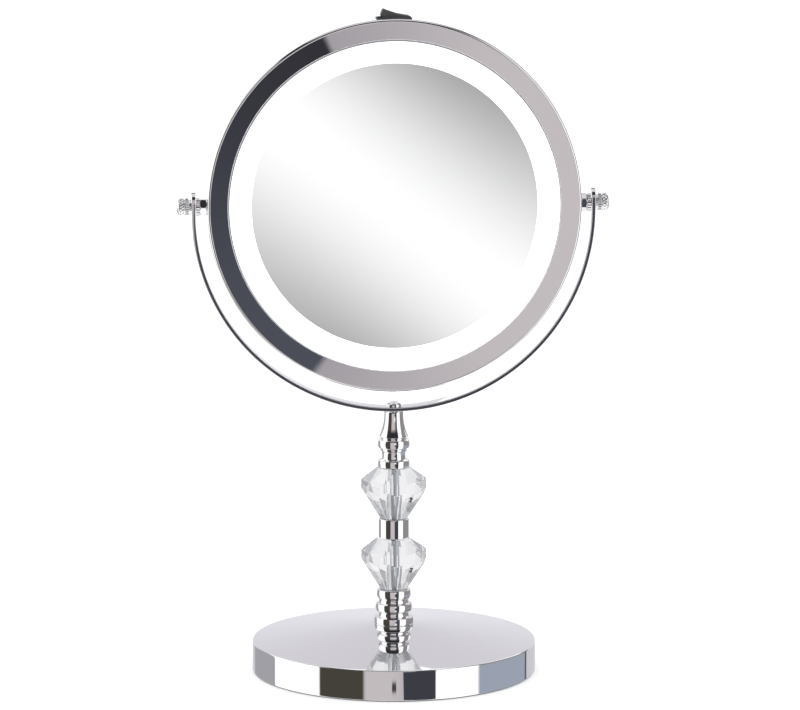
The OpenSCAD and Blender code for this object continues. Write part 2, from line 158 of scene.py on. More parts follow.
class Recipe:
    """A node tree that is being written."""

    def __init__(self, tree):
        self.tree = tree
        tree.nodes.clear()

    def node(self, kind, settings=None, inputs=None, output=0):
        """One node: its settings, then the value or the link of each named socket."""
        made = self.tree.nodes.new(kind)
        for key, value in (settings or {}).items():
            setattr(made, key, value)
        for key, value in (inputs or {}).items():
            if isinstance(value, Link):
                self.tree.links.new(value.socket, made.inputs[key])
            else:
                made.inputs[key].default_value = value
        return Link(self, made.outputs[output] if made.outputs else None)

    def math(self, operation, *values):
        return self.node("ShaderNodeMath", {"operation": operation}, dict(enumerate(values)))

    def mix(self, factor, first, second):
        """A colour between two colours."""
        return self.node("ShaderNodeMix", {"data_type": "RGBA"},
                         {0: factor, 6: first, 7: second}, output=2)

    def smooth(self, value, start, end):
        """0 before start, 1 after end, and an even S curve between them."""
        return self.node("ShaderNodeMapRange", {"interpolation_type": "SMOOTHSTEP"},
                         {"Value": value, "From Min": start, "From Max": end})

    def ramp(self, value, stops):
        """The colour at a value from 0 to 1, along stops of (place, colour)."""
        made = self.tree.nodes.new("ShaderNodeValToRGB")
        bar = made.color_ramp.elements
        for place, _ in stops[2:]:
            bar.new(place)
        for stop, (place, colour) in zip(bar, stops):
            stop.position, stop.color = place, colour
        self.tree.links.new(value.socket, made.inputs["Fac"])
        return Link(self, made.outputs["Color"])

    def place(self, stretch=(1, 1, 1)):
        """The point on the piece, in metres, with each axis stretched."""
        point = self.node("ShaderNodeTexCoord", output="Object")
        return self.node("ShaderNodeMapping", inputs={"Vector": point, "Scale": stretch})

    def noise(self, grain, detail=2.0, stretch=(1, 1, 1)):
        """Cloudy noise about 0.5, whose grain is given in metres."""
        return self.node("ShaderNodeTexNoise", inputs={
            "Vector": self.place(stretch), "Scale": 1 / grain, "Detail": detail})

    def split(self, vector):
        """The X, Y and Z of a vector, as three links."""
        apart = self.node("ShaderNodeSeparateXYZ", inputs={"Vector": vector})
        return [Link(self, socket) for socket in apart.socket.node.outputs]

    def bump(self, height, distance):
        """A surface normal that rises by distance metres where height goes from 0 to 1."""
        return self.node("ShaderNodeBump", inputs={"Height": height, "Distance": distance})


def paint(red, green, blue, gain=1.0):
    """A colour as seen on a screen, 0 to 255, turned into light for a shader."""
    share = np.array([red, green, blue]) / 255
    light = np.where(share <= 0.04045, share / 12.92, ((share + 0.055) / 1.055) ** 2.4)
    return (*(float(x) * gain for x in light), 1.0)


def finish(name, looks, **fixed):
    """A material: looks(recipe) gives the sockets that vary, fixed the ones that don't."""
    material = bpy.data.materials.new(name)
    material.use_nodes = True
    recipe = Recipe(material.node_tree)
    sockets = {key.replace("_", " "): value for key, value in fixed.items()}
    shader = recipe.node("ShaderNodeBsdfPrincipled", inputs={**sockets, **looks(recipe)})
    recipe.node("ShaderNodeOutputMaterial", inputs={"Surface": shader})
    return material


print("shader helpers ready")

# %% [markdown]
# ## The studio
# Chrome has hardly any colour of its own: what one sees is the studio. So the world is
# painted as a product photographer builds it, from white flats, a pinkish grey wall and
# two dark cards, in bands round the object. Only mirror-like rays meet the bands in full.
# The camera sees plain white. Rays that have passed through acrylic see white behind the
# object and grey beside it, which draws the stones' facets, and matt surfaces get soft
# white light from all sides.

# %% Colours of the studio
CHROME_SHARE = 0.88
card_edge = 0.8

white_flat = paint(255, 255, 255, 1.25)
grey_wall = paint(158, 158, 163, 1 / CHROME_SHARE)
olive_card = paint(68, 65, 58, 1 / CHROME_SHARE)
pink_wall = paint(193, 187, 189, 1 / CHROME_SHARE)
pink_shade = paint(158, 153, 158, 1 / CHROME_SHARE)
blue_wall = paint(152, 160, 174, 1 / CHROME_SHARE)
light_wall = paint(196, 196, 201, 1 / CHROME_SHARE)
door_gap = paint(62, 62, 66)
navy_low = paint(49, 48, 54, 1 / CHROME_SHARE)
navy_high = paint(75, 78, 87, 1 / CHROME_SHARE)
dark_ceiling = paint(44, 44, 47, 1 / CHROME_SHARE)
bent_grey = paint(176, 178, 181)
side_grey = paint(140, 135, 136, 1 / CHROME_SHARE)
overhead_silk = paint(212, 212, 215, 1 / CHROME_SHARE)
lilac_low = paint(223, 222, 228, 1 / CHROME_SHARE)
lilac_high = paint(202, 200, 205, 1 / CHROME_SHARE)

bands = [(-180, light_wall), (-158, grey_wall), (-113, white_flat), (-63, olive_card),
         (-24, pink_wall), (34, white_flat), (73, blue_wall), (135, door_gap),
         (138, light_wall)]
print("studio:", len(bands), "bands")

# %% [markdown]
# ## Paint the studio round the object
# A ray's direction gives an azimuth and an elevation, as a place on a globe has. A ramp
# along the azimuth lays out the bands, and each card, wall or ceiling whose edge also
# depends on the height is one more mix, with a smooth step at each of its edges. A step is
# narrow where the edge is crisp, and several degrees wide where it is a soft shade.


# %% Paint the studio
def band_stops(rows, edge):
    """Ramp stops for bands that start at given azimuths, each with an edge so wide."""
    starts = [(start / 360 + 0.5, colour) for start, colour in rows]
    stops = [starts[0]]
    for (_, before), (place, after) in zip(starts, starts[1:]):
        stops += [(place - edge / 720, before), (place + edge / 720, after)]
    return stops


def studio(world):
    """Directions to colours. Azimuth is counted from the camera, positive to the right."""
    recipe = Recipe(world.node_tree)
    x, y, z = recipe.split(recipe.node("ShaderNodeTexCoord", output="Generated"))
    turn = recipe.math("ARCTAN2", x, -y) * (180 / np.pi) - camera_azimuth
    azimuth = recipe.math("WRAP", turn, 180.0, -180.0)
    elevation = recipe.math("ARCSINE", z) * (180 / np.pi)
    colour = recipe.ramp(azimuth / 360 + 0.5, band_stops(bands, card_edge))
    # The blue wall is low; above it the same side of the room is a warm grey.
    beside = recipe.smooth(azimuth, 72.6, 73.4) * (1 - recipe.smooth(azimuth, 134.6, 135.4))
    colour = recipe.mix(beside * recipe.smooth(elevation, -13.3, -12.9), colour, side_grey)
    before_white = 1 - recipe.smooth(azimuth, 33.6, 34.4)
    # The pink wall darkens towards the navy card.
    fade = recipe.smooth(azimuth, -2, 22) * before_white
    colour = recipe.mix(fade, colour, pink_shade)
    # The navy card's left edge leans away above and below the height of the stem.
    lean = recipe.smooth(recipe.math("ABSOLUTE", elevation + 11), 0, 12) * 11
    navy = recipe.smooth(azimuth - lean, 6, 6.8) * before_white
    navy_tone = recipe.mix(recipe.smooth(elevation, -26, 6), navy_low, navy_high)
    colour = recipe.mix(navy, colour, navy_tone)
    # A tripod stands before the pink wall. At rest it shows in the rim of the base.
    mark = recipe.smooth(azimuth, -1.6, -1.2) * (1 - recipe.smooth(azimuth, 1.8, 2.2))
    mark *= recipe.smooth(elevation, -13.80, -13.74)
    mark *= 1 - recipe.smooth(elevation, -13.62, -13.56)
    colour = recipe.mix(mark, colour, dark_ceiling)
    # The ceiling hangs low in front, between the white flats, and high everywhere else.
    front = recipe.smooth(azimuth, -64, -62) * (1 - recipe.smooth(azimuth, 39, 41))
    colour = recipe.mix(front * recipe.smooth(elevation, 18, 30), colour, dark_ceiling)
    behind = recipe.smooth(recipe.math("ABSOLUTE", azimuth), 135, 150)
    lilac = recipe.mix(recipe.smooth(elevation, -10, 36), lilac_low, lilac_high)
    colour = recipe.mix(behind * recipe.smooth(elevation, -12, -8), colour, lilac)
    colour = recipe.mix(recipe.smooth(elevation, 48, 52), colour, dark_ceiling)
    colour = recipe.mix(recipe.smooth(elevation, 60, 66), colour, overhead_silk)
    colour = recipe.mix(1 - recipe.smooth(elevation, -58, -44), colour, white_flat)
    path = recipe.node("ShaderNodeLightPath")
    kinds = path.socket.node.outputs
    mirror_ray = Link(recipe, kinds["Is Glossy Ray"])
    soft_ray = Link(recipe, kinds["Is Diffuse Ray"])
    bent_ray = Link(recipe, kinds["Is Transmission Ray"])
    # Rays bent by acrylic meet white straight behind the object and grey to the sides.
    bright_field = recipe.mix(recipe.smooth(y, 0.5, 0.85), bent_grey, (1, 1, 1, 1))
    colour = recipe.mix(bent_ray * 0.75, colour, bright_field)
    seen = recipe.mix(soft_ray, (1, 1, 1, 1), (1.6, 1.6, 1.6, 1))
    shown = recipe.mix(mirror_ray, seen, colour)
    light = recipe.node("ShaderNodeBackground", inputs={"Color": shown})
    recipe.node("ShaderNodeOutputWorld", inputs={"Surface": light})


world = bpy.data.worlds.new("studio")
world.use_nodes = True
studio(world)
bpy.context.scene.world = world
cycles = bpy.context.scene.cycles
cycles.max_bounces = cycles.glossy_bounces = cycles.transmission_bounces = 32
print("studio:", len(world.node_tree.nodes), "nodes")

# %% [markdown]
# ## Floor
# The mirror stands on white paper. Neither the chrome nor the stones see the paper itself:
# it is hidden from mirror-like and from bent rays, and the painted studio takes its place
# there, because a plain bright floor would wash out the facets.


# %% Floor
def put(name, data):
    """A new object at the origin, linked to the scene."""
    made = bpy.data.objects.new(name, data)
    bpy.context.scene.collection.objects.link(made)
    return made


def flat_shape(name, centre, outline, upright):
    """A flat surface from its outline about its centre, lying down or standing up."""
    flat = np.column_stack([outline, np.zeros(len(outline))])
    points = np.array(centre) + (flat[:, [0, 2, 1]] if upright else flat)
    mesh = bpy.data.meshes.new(name)
    mesh.from_pydata(points.tolist(), [], [list(range(len(points)))])
    return put(name, mesh)


oblong = np.array([[-1, -1], [1, -1], [1, 1], [-1, 1]])


def floor_looks(recipe):
    mottle = recipe.noise(0.35, detail=3)
    return {"Base Color": recipe.mix(mottle, (0.93, 0.93, 0.93, 1), (0.90, 0.90, 0.90, 1))}


floor = flat_shape("floor", (0, 1.5, 0), oblong * 6, upright=False)
floor.data.materials.append(finish("floor_paper", floor_looks, Roughness=0.9))
floor.visible_glossy = floor.visible_transmission = False
print("floor:", len(floor.data.polygons), "sheet of white paper")

# %% [markdown]
# ## Cards that the chrome sees
# A flat mirror shows one small patch of the room. A printed gradient card hung exactly
# there gives the glass its soft diagonal sheen. Its place follows from the law of
# reflection: the mirror shows what an eye behind it, at the camera's mirror image, would
# see through the glass. A white strip behind the drum gives its top a bright line. Both
# are hidden from everything but mirror-like rays.


# %% Cards
def only_mirrored(sheet):
    """Hides a sheet from everything but mirror-like rays."""
    for seen_by in ("camera", "diffuse", "transmission", "shadow", "volume_scatter"):
        setattr(sheet, "visible_" + seen_by, False)


angles = np.linspace(0, 2 * np.pi, 96, endpoint=False)
circle = np.column_stack([np.cos(angles), np.sin(angles)])
glass_y = low("front_mirror")[1] * MM
glass_r = high("front_mirror")[0] * MM
pivot = np.array([0, glass_y, pivot_z * MM])
card_y = -0.79
eye = np.array(camera.location) * [1, -1, 1] + [0, 2 * glass_y, 0]
reach = (eye[1] - card_y) / (eye[1] - glass_y)
card_centre = eye + (pivot - eye) * reach
card_r = glass_r * reach * 1.04
card = flat_shape("gradient_card", card_centre, circle * card_r, upright=True)
strip = flat_shape("back_strip", (0, 0.25, 0.315), oblong * [0.6, 0.115], upright=True)


# The silver gives back nine tenths of the light, and a screen shows light to 1 / 2.2.
SCREEN_GAMMA = 2.2
MIRROR_SHARE = 0.9


def lamp(name, light):
    """A material that only shines: light(recipe) gives its colour at each point."""
    material = bpy.data.materials.new(name)
    material.use_nodes = True
    recipe = Recipe(material.node_tree)
    glow = recipe.node("ShaderNodeEmission", inputs={"Color": light(recipe)})
    recipe.node("ShaderNodeOutputMaterial", inputs={"Surface": glow})
    return material


def card_light(recipe):
    """Light that is full along one diagonal and falls off with the square of the distance."""
    x, _, z = recipe.split(recipe.place())
    across = (x - float(card_centre[0])) / (glass_r * reach)
    down = (float(card_centre[2]) - z) / (glass_r * reach)
    off, along = across - down, across + down
    tone = 1 - 0.011 * off - 0.221 * off ** 2 + 0.059 * off * along + 0.034 * off ** 4
    light = tone ** SCREEN_GAMMA / MIRROR_SHARE
    return recipe.mix(light / 2, (0, 0, 0, 1), (2, 2, 2, 1))


def strip_light(recipe):
    """Even white light with a slight cloudiness."""
    return recipe.mix(recipe.noise(0.1), (1.1, 1.1, 1.1, 1), (1.25, 1.25, 1.25, 1))


for sheet, name, light in ((card, "card_gradient", card_light), (strip, "strip_light", strip_light)):
    sheet.data.materials.append(lamp(name, light))
    only_mirrored(sheet)
print("card centre", card_centre.round(3), "radius", round(float(card_r), 3))

# %% [markdown]
# ## Soft light from above
# Chrome and mirrors live on what they reflect, so they hardly need a lamp. The dark switch
# and the matt paper do, and one wide soft light above on the left is enough for both. It
# is hidden from mirror-like rays, which would draw it as a hard square.

# %% Soft light from above
overhead = put("overhead_softbox", bpy.data.lights.new("overhead_softbox", "AREA"))
overhead.data.size = 1.6
overhead.data.energy = 2
overhead.location = (-0.5, -0.6, 1.9)
overhead.rotation_mode = "QUATERNION"
overhead.rotation_quaternion = (Vector((0, 0, 0.1)) - overhead.location).to_track_quat("-Z", "Y")
overhead.visible_glossy = False
print("soft light:", overhead.data.size, "m wide at", tuple(round(x, 2) for x in overhead.location))

# %% [markdown]
# ## Turned surfaces
# Most of the object is turned metal: an outline carried round an axis. A real turned or
# pressed edge is never sharp, and on chrome it is the small rounding that draws the bright
# and dark lines. So each outline is a list of corners with a rounding, and a helper
# replaces each corner with a short curve that is tangent to both sides.


# %% Outlines
def rounded(rows, steps=6):
    """A closed outline in metres from rows of (radius, height, rounding) in millimetres.

    With b and a the unit directions from a corner to its neighbours and q the rounding,
    the curve corner + q b (1 - t)^2 + q a t^2 touches both sides, for t from 0 to 1."""
    rows = np.array(rows, float)
    here = rows[:, :2]
    back, ahead = np.roll(here, 1, axis=0) - here, np.roll(here, -1, axis=0) - here
    back_length = np.linalg.norm(back, axis=1, keepdims=True)
    ahead_length = np.linalg.norm(ahead, axis=1, keepdims=True)
    room = 0.45 * np.minimum(back_length, ahead_length)
    reach = np.minimum(rows[:, 2:], room)
    t = np.linspace(0, 1, steps)[None, :, None]
    points = (here[:, None] + (back / back_length * reach)[:, None] * (1 - t) ** 2
              + (ahead / ahead_length * reach)[:, None] * t ** 2).reshape(-1, 2)
    step = np.linalg.norm(points - np.roll(points, 1, axis=0), axis=1)
    return points[step > 1e-5] * MM


def curve(radius, height, steps, rounding=0.0):
    """Outline rows along radius(t), height(t), with the two ends rounded."""
    t = np.linspace(0, 1, steps + 1)
    rows = np.stack([radius(t) + 0 * t, height(t) + 0 * t, 0 * t], axis=1)
    rows[[0, -1], 2] = rounding
    return rows


def bulge(r_edge, r_mid, z0, z1, rounding=0.25):
    """A ring or a neck: radius r_edge + (r_mid - r_edge) sqrt(sin(pi t)), at heights that
    follow (1 - cos(pi t)) / 2, so that the quick ends get most of the points."""
    return curve(lambda t: r_edge + (r_mid - r_edge) * np.sqrt(np.abs(np.sin(np.pi * t))),
                 lambda t: z0 + (z1 - z0) * (0.5 - 0.5 * np.cos(np.pi * t)), 18, rounding)


def lifted(rows, distance):
    """Outline rows moved along the axis."""
    return np.array(rows, float) + [0, distance, 0]


print("a ring outline has", len(rounded(bulge(9, 10, 0, 4))), "points")

# %% [markdown]
# ## From a grid of points to a mesh
# Each surface is a grid: one direction runs along the outline and the other runs round the
# axis. The faces are the same index sums for every grid. Rows that end on the axis shrink
# to one point, so doubles are merged there, and the normals are worked out again so that
# all faces point outwards.


# %% Meshes
def solid(name, points, faces, smooth=True):
    """A mesh from points and faces, closed at its poles, with its faces turned outwards."""
    mesh = bpy.data.meshes.new(name)
    mesh.from_pydata(np.asarray(points, float).tolist(), [], [list(f) for f in faces])
    work = bmesh.new()
    work.from_mesh(mesh)
    bmesh.ops.remove_doubles(work, verts=work.verts, dist=2e-7)
    bmesh.ops.dissolve_degenerate(work, edges=work.edges, dist=1e-8)
    bmesh.ops.recalc_face_normals(work, faces=work.faces)
    work.to_mesh(mesh)
    work.free()
    mesh.polygons.foreach_set("use_smooth", np.full(len(mesh.polygons), smooth))
    return mesh


def grid_faces(rows, columns, close_rows=True, close_columns=True):
    """The corner numbers of every quad of a grid, with each direction closed or open."""
    i, j = np.meshgrid(np.arange(rows - (not close_rows)),
                       np.arange(columns - (not close_columns)), indexing="ij")
    k, m = (i + 1) % rows, (j + 1) % columns
    corners = [i * columns + j, i * columns + m, k * columns + m, k * columns + j]
    return np.stack(corners, axis=-1).reshape(-1, 4)


def around(outline, columns, wobble=None):
    """An outline turned about Z: (r cos a, r sin a, z), with r changed by wobble(r, z, a)."""
    a = np.linspace(0, 2 * np.pi, columns, endpoint=False)[None, :]
    r, z = outline[:, :1] + 0 * a, outline[:, 1:] + 0 * a
    if wobble is not None:
        r = wobble(r, z, a + 0 * r)
    return np.stack([r * np.cos(a), r * np.sin(a), z], axis=-1)


print("a closed grid of 3 by 4 points has", len(grid_faces(3, 4)), "faces")

# %% [markdown]
# ## From a mesh to a piece
# A turned outline stands upright at the origin, so a turn and a place carry it to the
# stem, the drum or a pivot. A piece then rides on its body, stands for one node of the
# design and takes its finish. Unless a piece is faceted or threaded, its normals are
# weighted by face area, so that long flat faces stay flat in a mirror-like finish.

# %% Pieces
UPRIGHT = np.eye(3)
FORWARD = np.array([[1, 0, 0], [0, 0, -1], [0, 1, 0]])
RIGHT = np.array([[0, 0, 1], [0, 1, 0], [-1, 0, 0]])
LEFT = np.array([[0, 0, -1], [0, -1, 0], [-1, 0, 0]])
ON_PIVOT = np.array([0, 0, pivot_z * MM])


def turned(name, rows, turn=UPRIGHT, origin=(0, 0, 0), columns=192, wobble=None, steps=6):
    """A turned piece. Rows that start and end on the axis are left open there."""
    outline = rounded(rows, steps)
    on_axis = outline[0, 0] < 1e-7 and outline[-1, 0] < 1e-7
    points = around(outline, columns, wobble).reshape(-1, 3) @ turn.T + origin
    return solid(name, points, grid_faces(len(outline), columns, close_rows=not on_axis))


def piece(mesh, body, stands_for, material, even=True):
    """Hangs a mesh on its body in place of a CAD node, with its finish."""
    made = put(mesh.name, mesh)
    made.data.materials.append(material)
    if even:
        made.modifiers.new("even_shading", "WEIGHTED_NORMAL").keep_sharp = True
    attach(made, body)
    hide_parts(stands_for)
    print(f"{made.name}: {len(mesh.polygons)} faces on {body}")
    return made


print("the pivots are", round(float(ON_PIVOT[2]), 3), "m above the table")

# %% [markdown]
# ## Chrome
# Nickel and chromium plate over polished steel is a mirror with a faint blue-grey cast.
# What tells it from a computer's perfect mirror is small: a little haze where a cloth has
# passed, and a ripple of a few microns left by the polishing wheel. Both are kept faint,
# because the lines between the studio's bands stay crisp on the real thing.


# %% Chrome
def chrome(name, grain, ripple):
    """Polished plate with hazy patches and a wheel ripple of the given size, in metres."""
    def looks(recipe):
        haze = recipe.noise(grain, detail=4)
        wheel = recipe.noise(grain / 3, detail=1)
        tint = recipe.mix(haze, (0.87, 0.87, 0.88, 1), (0.90, 0.90, 0.905, 1))
        return {"Base Color": tint, "Roughness": 0.012 + 0.05 * haze ** 3,
                "Normal": recipe.bump(wheel, ripple)}
    return finish(name, looks, Metallic=1.0)


plate = chrome("polished_chrome", grain=0.02, ripple=2e-6)
base_plate = chrome("base_chrome", grain=0.05, ripple=5e-6)
print("chrome ready")

# %% [markdown]
# ## The base
# A steel sheet is pressed into a shallow dome with a straight rim, then plated. Its dome
# decides how the crystals are mirrored in front of the stem, so the outline follows the
# same curve as the design: flat under the stem, and then almost a plain cone.

# %% Base shell
rim_h = 17.0
rim_round = 1.4
shell_t = 1.2
seat_r = 11.4
rod_hole_r = 1.55
dome_h = seat_z - rim_h
dome_power = 1.1
dome_edge = base_r - rim_round


def dome(t, drop=0.0):
    """Height of the dome at the share t of the way from its seat to its edge."""
    return seat_z - dome_h * t ** dome_power - drop


dome_fall = dome_power * dome_h / (dome_edge - seat_r) * rim_round
base_rows = np.vstack([
    [[rod_hole_r, seat_z, 0]],
    curve(lambda t: seat_r + (dome_edge - seat_r) * t, dome, 48),
    [[base_r, rim_h - dome_fall, rim_round], [base_r, low("base_shell")[2], 0.4],
     [base_r - shell_t, low("base_shell")[2], 0.2], [base_r - shell_t, rim_h - 2.6, 0.8]],
    curve(lambda t: dome_edge - 0.6 - (dome_edge - seat_r) * t,
          lambda t: dome(1 - t, shell_t), 24),
    [[rod_hole_r, seat_z - shell_t, 0]],
])
piece(turned("base_dome", base_rows, columns=320, steps=8),
      "stand", "base_shell", base_plate)

# %% [markdown]
# ## Ferrules and sleeve
# The metal of the stem is three turned pieces on the tie rod. The lower one is a stack of
# three rings with two necks between them, the sleeve is a plain tube, and the upper one
# tapers to the yoke, where its end is hollowed to fit the band. A turner would call the
# rings and necks beads and coves. Their middles are almost straight, so they mirror the
# studio in upright stripes, and only their quick ends draw thin dark lines.

# %% Ferrules and sleeve
ferrule_top = high("lower_ferrule")[2] - low("lower_ferrule")[2]
lower_rows = np.vstack([
    [[rod_hole_r, 0, 0]],
    bulge(10.4, 10.95, 0, 4.0, 0.35),
    bulge(9.0, 8.3, 4.3, 6.9),
    bulge(9.3, 10.0, 7.2, 11.4),
    bulge(8.8, 8.05, 11.6, 14.2),
    bulge(8.6, 9.25, 14.5, 19.0, 0.35),
    [[7.6, ferrule_top, 0.1], [rod_hole_r, ferrule_top, 0]],
])
piece(turned("lower_beads", lifted(lower_rows, low("lower_ferrule")[2])),
      "stand", "lower_ferrule", plate)

sleeve_r = high("middle_sleeve")[0]
sleeve_low, sleeve_high = low("middle_sleeve")[2], high("middle_sleeve")[2]
sleeve_rows = [[rod_hole_r, sleeve_low, 0], [sleeve_r, sleeve_low, 0.6],
               [sleeve_r, sleeve_high, 0.6], [rod_hole_r, sleeve_high, 0]]
piece(turned("plain_sleeve", sleeve_rows), "stand", "middle_sleeve", plate)

yoke_outer = high("yoke")[0]
yoke_centre_z = low("yoke")[2] + yoke_outer
upper_low = low("upper_ferrule")[2]
neck_top = low("yoke")[2] - upper_low
upper_rows = np.vstack([
    [[0, 0, 0]],
    bulge(8.2, 8.6, 0, 3.9, 0.35),
    bulge(7.6, 6.35, 4.1, 9.0),
    [[6.9, 9.2, 0.1], [6.9, 10.2, 0.1]],
    bulge(7.5, 8.65, 10.4, 15.2),
    [[6.95, 15.4, 0.1], [6.95, 16.2, 0.1]],
    curve(lambda t: 5.2 + 2.8 * (1 - t) ** 2, lambda t: 16.8 + 12.4 * t, 24, 0.1),
    [[5.2, neck_top, 0], [0, neck_top, 0]],
])
upper_ferrule = turned("upper_beads", lifted(upper_rows, upper_low))


def raise_points(mesh, rise):
    """Adds rise(x, y, z) to the height of every point, all in metres."""
    points = np.zeros(len(mesh.vertices) * 3)
    mesh.vertices.foreach_get("co", points)
    points = points.reshape(-1, 3)
    points[:, 2] += rise(*points.T)
    mesh.vertices.foreach_set("co", points.ravel())
    mesh.update()


def hollow_end(x, y, z):
    """The top of the neck follows the round of the band: R - sqrt(R^2 - x^2)."""
    top = z > (upper_low + neck_top) * MM - 1e-6
    bend = yoke_outer * MM
    return top * (bend - np.sqrt(bend ** 2 - np.clip(x, -bend, bend) ** 2))


raise_points(upper_ferrule, hollow_end)
piece(upper_ferrule, "stand", "upper_ferrule", plate)

# %% [markdown]
# ## Crystals
# Each crystal is a moulded acrylic stone with ten sides. Twenty flutes widen from a small
# foot to an upright girdle, whose facets dip to a point in the middle, and twenty triangles
# close in on the table. Light bends in it only if it is a closed solid with flat facets
# and a hole, so the mesh is laid out ring by ring. The edges get a very small bevel, as a
# polished moulding has, which catches light where two facets meet.

# %% Crystals
facets = 10
foot_r, table_r, bore_r = 7.5, 9.0, 2.7
crystal_r = 17.7
girdle_top, girdle_side, girdle_dip = 21.4, 4.7, 7.0
crystal_h = high("lower_crystal")[2] - low("lower_crystal")[2]


def ring(radius, height, count, start=0.0):
    """Points on a circle, the first one facing the front, turned by start degrees."""
    a = np.radians(start - 90) + np.arange(count) * 2 * np.pi / count
    return np.stack([radius * np.cos(a), radius * np.sin(a), height + 0 * a], axis=1)


def crystal(name, bottom):
    """Rings of points joined facet by facet. Even places of a ring of twenty are corners
    and odd places are the middles of the girdle's facets."""
    double = 2 * facets
    corner_turn = 180 / facets
    middle_r = crystal_r * np.cos(np.radians(corner_turn))
    even = np.arange(double) % 2 == 0
    dip = girdle_top - np.where(even, girdle_side, girdle_dip)
    girdle = ring(np.where(even, crystal_r, middle_r), dip, double, corner_turn)
    rings = [ring(foot_r, 0, double, corner_turn), girdle,
             ring(crystal_r, girdle_top, facets, corner_turn),
             ring(table_r, crystal_h, facets, 2 * corner_turn),
             ring(bore_r, 0, double, corner_turn), ring(bore_r, crystal_h, double, corner_turn)]
    foot, side, crown, table, hole_low, hole_high = np.cumsum([0] + [len(r) for r in rings])[:6]
    k = np.arange(facets)
    k2 = (k + 1) % facets
    c, m, n, m2 = 2 * k, 2 * k + 1, (2 * k + 2) % double, (2 * k + 3) % double
    j = np.arange(double)
    j2 = (j + 1) % double
    facet_sets = [(foot + c, foot + m, side + m), (foot + m, foot + n, side + m),
                  (foot + c, side + m, side + c), (foot + n, side + n, side + m),
                  (side + c, side + m, side + n, crown + k2, crown + k),
                  (crown + k, crown + k2, table + k), (crown + k2, table + k2, table + k),
                  (table + k, table + k2, hole_high + m2, hole_high + n, hole_high + m),
                  (foot + j, foot + j2, hole_low + j2, hole_low + j),
                  (hole_low + j, hole_low + j2, hole_high + j2, hole_high + j)]
    faces = [row for group in facet_sets for row in np.stack(group, axis=1).tolist()]
    points = (np.vstack(rings) + [0, 0, bottom]) * MM
    mesh = solid(name, points, faces, smooth=False)
    edges = np.zeros(len(mesh.edges) * 2, int)
    mesh.edges.foreach_get("vertices", edges)
    outer = (edges.reshape(-1, 2) < hole_low).all(axis=1)
    weight = mesh.attributes.new("bevel_weight_edge", "FLOAT", "EDGE")
    weight.data.foreach_set("value", outer.astype(np.float32))
    return mesh


def acrylic_looks(recipe):
    flow = recipe.noise(0.006, detail=1, stretch=(1, 1, 0.4))
    haze = recipe.noise(0.01, detail=3)
    clear = recipe.mix(haze, (0.985, 0.99, 1.0, 1), (1.0, 1.0, 1.0, 1))
    return {"Base Color": clear, "Roughness": 0.002 + 0.02 * haze ** 4,
            "Normal": recipe.bump(flow, 6e-6)}


acrylic = finish("clear_acrylic", acrylic_looks, Transmission_Weight=1.0, IOR=1.49)
for which in ("lower", "upper"):
    stone = piece(crystal(which + "_stone", low(which + "_crystal")[2]),
                  "stand", which + "_crystal", acrylic, even=False)
    edge = stone.modifiers.new("polished_edges", "BEVEL")
    edge.limit_method, edge.width, edge.segments = "WEIGHT", 0.2 * MM, 2

# %% [markdown]
# ## Tie rod
# A threaded steel rod runs from a nut under the base, through the bores of the crystals,
# into the upper ferrule, and holds the stem together. It shows through the acrylic as fine
# grey stripes. The thread is a helix: the radius goes up and down once for each turn and
# each pitch, so it depends on height minus angle.

# %% Tie rod
rod_r = high("tie_rod")[0]
rod_low, rod_high = low("tie_rod")[2], high("tie_rod")[2]
pitch, thread_depth = 0.7, 0.22


def thread(r, z, a):
    """The radius less a share of the depth that zigzags with height and angle."""
    turns = (z / (pitch * MM) - a / (2 * np.pi)) % 1
    return r - (r > 0.9 * rod_r * MM) * thread_depth * MM * np.abs(2 * turns - 1)


rod_rows = np.vstack([[[0, rod_low, 0]],
                      curve(lambda t: rod_r, lambda t: rod_low + (rod_high - rod_low) * t, 900),
                      [[0, rod_high, 0]]])


def steel_looks(recipe):
    grain = recipe.noise(0.004, detail=3, stretch=(1, 1, 0.2))
    oil = recipe.noise(0.02, detail=2)
    return {"Base Color": recipe.mix(oil, (0.62, 0.65, 0.70, 1), (0.76, 0.78, 0.81, 1)),
            "Roughness": 0.22 + 0.16 * grain, "Normal": recipe.bump(grain, 8e-6)}


rod_steel = finish("rod_steel", steel_looks, Metallic=1.0)
piece(turned("threaded_rod", rod_rows, columns=24, wobble=thread),
      "stand", "tie_rod", rod_steel, even=False)

# %% [markdown]
# ## Yoke
# The yoke is a flat steel band, bent to a half circle with two straight arms whose ends
# are rounded. It could be a curve with a bevel, but then the ends would be cut square. So
# the section, a rectangle with soft corners, is carried along the bend as a grid, and
# its width shrinks as a half circle at each end.

# %% Yoke
band_half_w = high("yoke")[1]
band_half_t = 1.1
arm_rise = high("yoke")[2] - yoke_centre_z


